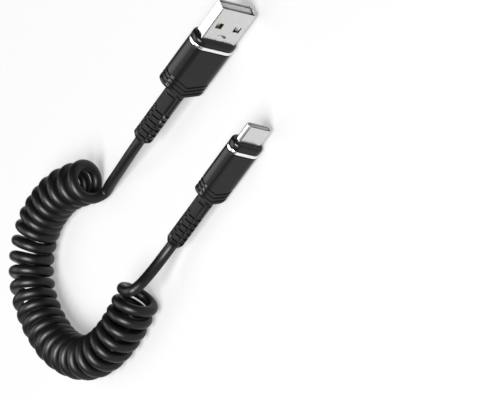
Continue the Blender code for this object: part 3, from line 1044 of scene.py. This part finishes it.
@dataclass
class UsbAEnd(MetalEnd):
    """The USB-A end: shell with windows and pressed dents, tongue and four contacts."""

    contact_count: int = 4
    tongue_easing: float = 0.12 * MM
    contact_easing: float = 0.05 * MM
    window_side: float = 2.2 * MM
    window_corner: float = 0.2 * MM
    window_spacing: float = 6.25 * MM
    window_from_nose: float = 5.85 * MM
    dent_from_nose: float = 1.95 * MM
    dent_size: tuple[float, float] = (1.6 * MM, 3.4 * MM)
    dent_depth: float = 0.85 * MM
    dent_depth_over_tongue: float = 0.12 * MM
    dent_cuts: tuple[int, int] = (10, 18)
    tongue_thickness: float = 1.9 * MM
    tongue_recess: float = 0.6 * MM
    tongue_gap: float = 0.2 * MM

    def build(self, finishes: dict[str, bpy.types.Material]) -> None:
        """Build the shell, the tongue and the contacts, and dress them."""
        self.shell().dress(finishes["steel"], "plug_steel", "usb_a_shell")
        self.tongue().dress(finishes["pale"], "tongue_plastic", "usb_a_tongue")
        self.contacts(finishes["gold"])

    def shell(self) -> Workpiece:
        """The shell with two windows and an oval dent in each broad face."""
        place = self.places
        piece = self.sheet("usb_a_drawn_shell")
        for side in (-1, 1):
            self.press_dent(piece, side)
        self.thicken(piece)
        half = place.shell.thickness / 2
        reach = self.window_side / 2
        middle = place.nose_front + self.window_from_nose
        for side in (-1, 1):
            lower, upper = sorted((side * (half - 2 * self.wall), side * (half + self.wall)))
            for across in (-self.window_spacing / 2, self.window_spacing / 2):
                window = Workpiece.block(
                    "window", place.at(middle - reach, lower, across - reach),
                    place.at(middle + reach, upper, across + reach),
                )
                window.round_edges(ACROSS, self.window_corner, CUT_STEPS)
                piece.carve(window)
        piece.finish(self.lip)
        return piece

    def press_dent(self, piece: Workpiece, side: int) -> None:
        """Press an oval dent into one broad face of the sheet.

        Args:
            piece: The sheet, before it has its thickness.
            side: -1 for the face towards -Y, 1 for the one towards +Y.
        """
        place = self.places
        facing = ACROSS * side
        middle = place.at(place.nose_front + self.dent_from_nose)
        half_x, half_z = self.dent_size[0] / 2, self.dent_size[1] / 2
        depth = self.dent_depth if side < 0 else self.dent_depth_over_tongue
        for cuts, half, direction in ((self.dent_cuts[0], half_x, ALONG), (self.dent_cuts[1], half_z, UP)):
            for number in range(cuts + 1):
                offset = half * (2 * number / cuts - 1)
                piece.slice(middle + direction * offset, direction, facing)

        def pressed(point: Vector) -> Vector:
            """How far the press moves a point of the sheet."""
            away = math.hypot((point.x - middle.x) / half_x, (point.z - middle.z) / half_z)
            on_face = side * (point.y - middle.y) > place.shell.thickness / 2 - TOUCHING
            return facing * (-depth * max(1.0 - away, 0.0) if on_face else 0.0)

        piece.shift(pressed)

    def tongue(self) -> Workpiece:
        """The plastic tongue against the +Y wall, with a bed for each contact."""
        low, high = box_of("usb_a_tongue")
        piece = Workpiece.block("usb_a_moulded_tongue", low, high)
        for number in range(1, self.contact_count + 1):
            bed_low, bed_high = box_of(f"usb_a_contact_{number}")
            gap = Vector((self.tongue_gap, 0.0, self.tongue_gap)) / 2
            bed_low.y = low.y - OVERHANG
            bed_high.y += self.tongue_gap
            piece.carve(Workpiece.block("bed", bed_low - gap, bed_high + gap))
        piece.finish(self.tongue_easing)
        return piece

    def contacts(self, finish: bpy.types.Material) -> None:
        """The contacts: one is modelled, and the others are its copies."""
        low, high = box_of("usb_a_contact_1")
        strip = Workpiece.block("usb_a_gold_contact_1", low, high)
        strip.finish(self.contact_easing)
        for number in range(2, self.contact_count + 1):
            move = box_of(f"usb_a_contact_{number}")[0] - low
            twin = strip.copy(f"usb_a_gold_contact_{number}", move)
            twin.dress(finish, "contact_gold", f"usb_a_contact_{number}")
        strip.dress(finish, "contact_gold", "usb_a_contact_1")


@dataclass
class UsbCEnd(MetalEnd):
    """The USB-C end: a rounded shell and the insulator inside it."""

    slot_width: float = 6.7 * MM
    slot_height: float = 0.9 * MM
    slot_depth: float = 4.6 * MM
    slip_gap: float = 0.15 * MM
    insulator_easing: float = 0.08 * MM

    def build(self, finishes: dict[str, bpy.types.Material]) -> None:
        """Build the shell and the insulator, and dress them."""
        shell = self.sheet("usb_c_drawn_shell")
        self.thicken(shell)
        shell.finish(self.lip)
        shell.dress(finishes["steel"], "plug_steel", "usb_c_shell")
        self.insulator().dress(finishes["insulator"], "insulator_plastic", "usb_c_insulator")

    def insulator(self) -> Workpiece:
        """The insulator, with the slot that takes the socket's tongue."""
        place = self.places
        low, high = box_of("usb_c_insulator")
        piece = bar(
            "usb_c_moulded_insulator", low.x, high.x, place.centre,
            place.shell.drawn_in(self.wall + self.slip_gap), self.corner_steps,
        )
        piece.carve(Workpiece.block(
            "slot", place.at(high.x - self.slot_depth, -self.slot_height / 2, -self.slot_width / 2),
            place.at(high.x + OVERHANG, self.slot_height / 2, self.slot_width / 2),
        ))
        piece.finish(self.insulator_easing)
        return piece


# The studio


@dataclass
class Panel:
    """A soft light: the direction it comes from, its distance and size, and how bright it looks."""

    name: str
    direction: tuple[float, float, float]
    distance: float
    size: tuple[float, float]
    glow: float

    @property
    def watts(self) -> float:
        """The power that gives the panel its glow, which is its radiance."""
        return self.glow * math.pi * self.size[0] * self.size[1]


@dataclass
class Studio:
    """Camera, floor and lights."""

    picture_px: tuple[int, int] = (480, 400)
    px_per_mm: float = 3.4038
    # Directions across, up and out of the picture, in the frame
    across: tuple[float, float, float] = (0.5075, -0.2766, -0.816)
    upward: tuple[float, float, float] = (0.6862, 0.7025, 0.1887)
    # The frame's point, millimetres, that the picture shows at a known pixel
    known_mm: tuple[float, float, float] = (18.05, 18.65, -0.25)
    known_px: tuple[float, float] = (237.39, 42.16)
    lens_mm: float = 1300.0
    sensor_mm: float = 36.0
    scene_depth_mm: float = -12.0
    clip_start: float = 0.1
    clip_end: float = 50.0
    floor_drop: float = 0.1 * MM
    floor_side: float = 6.0
    floor_colour: str = "#7e7e7e"
    floor_roughness: float = 0.9
    floor_specular: float = 0.1
    floor_glow: float = 0.37
    surround: float = 0.03
    lit_point: tuple[float, float, float] = (-0.03, 0.005, 0.005)
    panels: tuple[Panel, ...] = (
        Panel("key", (0.06, -0.73, 0.90), 3.0, (1.7, 1.7), 34.0),
        Panel("overhead", (-0.52, 0.28, 0.80), 3.0, (2.8, 2.2), 3.4),
    )

    def camera(self) -> None:
        """A long lens at the photograph's angle, far away, so the cable shows little perspective."""
        across = Vector(self.across).normalized()
        outward = across.cross(Vector(self.upward)).normalized()
        upward = outward.cross(across)
        middle = Vector((self.picture_px[0] / 2, self.picture_px[1] / 2)) - Vector(self.known_px)
        aim = Vector(self.known_mm) + (across * middle.x - upward * middle.y) / self.px_per_mm
        aim += outward * self.scene_depth_mm
        width = self.picture_px[0] / self.px_per_mm * MM
        distance = width * self.lens_mm / self.sensor_mm
        lens = bpy.data.cameras.new("camera")
        lens.lens = self.lens_mm
        lens.sensor_width = self.sensor_mm
        lens.clip_start = self.clip_start
        lens.clip_end = self.clip_end
        camera = add_object("camera", lens)
        turn = Matrix((across, upward, outward)).transposed()
        camera.matrix_world = Matrix.Translation(aim * MM + outward * distance) @ turn.to_4x4()
        bpy.context.scene.camera = camera

    def floor(self) -> None:
        """A wide pale sheet under the cable."""
        leave_edit_mode()
        bpy.ops.mesh.primitive_plane_add(size=self.floor_side, location=(0.0, 0.0, -self.floor_drop))
        floor = bpy.context.object
        floor.name = "pale_floor"
        bpy.ops.object.transform_apply()
        material = bpy.data.materials.new("white studio paper")
        material.use_nodes = True
        tree = material.node_tree
        feed(
            tree, tree.nodes["Principled BSDF"], base_color=linear(self.floor_colour),
            roughness=self.floor_roughness, specular_ior_level=self.floor_specular,
            emission_color=WHITE, emission_strength=self.floor_glow,
        )
        floor.data.materials.append(material)

    def lights(self) -> None:
        """Soft panels round the cable, and a dim even surround."""
        world = bpy.data.worlds.new("studio")
        bpy.context.scene.world = world
        world.use_nodes = True
        tree = world.node_tree
        feed(tree, tree.nodes["Background"], color=WHITE, strength=self.surround)
        target = Vector(self.lit_point)
        for panel in self.panels:
            direction = Vector(panel.direction).normalized()
            light = bpy.data.lights.new(panel.name, "AREA")
            light.shape = "RECTANGLE"
            light.size, light.size_y = panel.size
            light.energy = panel.watts
            lamp = add_object(panel.name, light)
            lamp.location = target + direction * panel.distance
            lamp.rotation_euler = direction.to_track_quat("Z", "Y").to_euler()

    def build(self) -> None:
        """Set up the whole studio."""
        self.camera()
        self.floor()
        self.lights()
        bpy.context.scene.view_settings.view_transform = "Standard"


def main() -> None:
    """Load the frame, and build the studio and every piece."""
    logging.basicConfig(level=logging.INFO, format="%(name)s: %(message)s")
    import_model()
    Studio().build()
    finishes = {finish.name: finish.default.material() for finish in fields(Finishes)}
    cord = Cord()
    cord.build(finishes["jacket"])

    places_a = Places.of(Kind.USB_A, shell_corner=0.5 * MM, grip_corner=3.3 * MM)
    UsbAEnd(Kind.USB_A, places_a).build(finishes)
    PlugBody(
        Kind.USB_A, places_a, nose_crown=1.0 * MM, nose_inset=0.9 * MM, rear_taper=2.2 * MM,
        chevron_reach=4.9 * MM,
        relief=Section(6.1 * MM, 6.1 * MM, 2.4 * MM), stem=Section(4.6 * MM, 4.6 * MM, 1.2 * MM),
        spigot_margin=1.6 * MM,
    ).build(finishes, cord.diameter)

    places_c = Places.of(Kind.USB_C, shell_corner=1.2 * MM, grip_corner=2.75 * MM)
    UsbCEnd(Kind.USB_C, places_c).build(finishes)
    PlugBody(
        Kind.USB_C, places_c, nose_crown=1.0 * MM, nose_inset=0.7 * MM, rear_taper=2.0 * MM,
        chevron_reach=4.6 * MM,
        relief=Section(5.4 * MM, 5.4 * MM, 2.35 * MM), stem=Section(3.8 * MM, 3.8 * MM, 1.0 * MM),
    ).build(finishes, cord.diameter)
    leave_edit_mode()


if __name__ == "__main__":
    main()
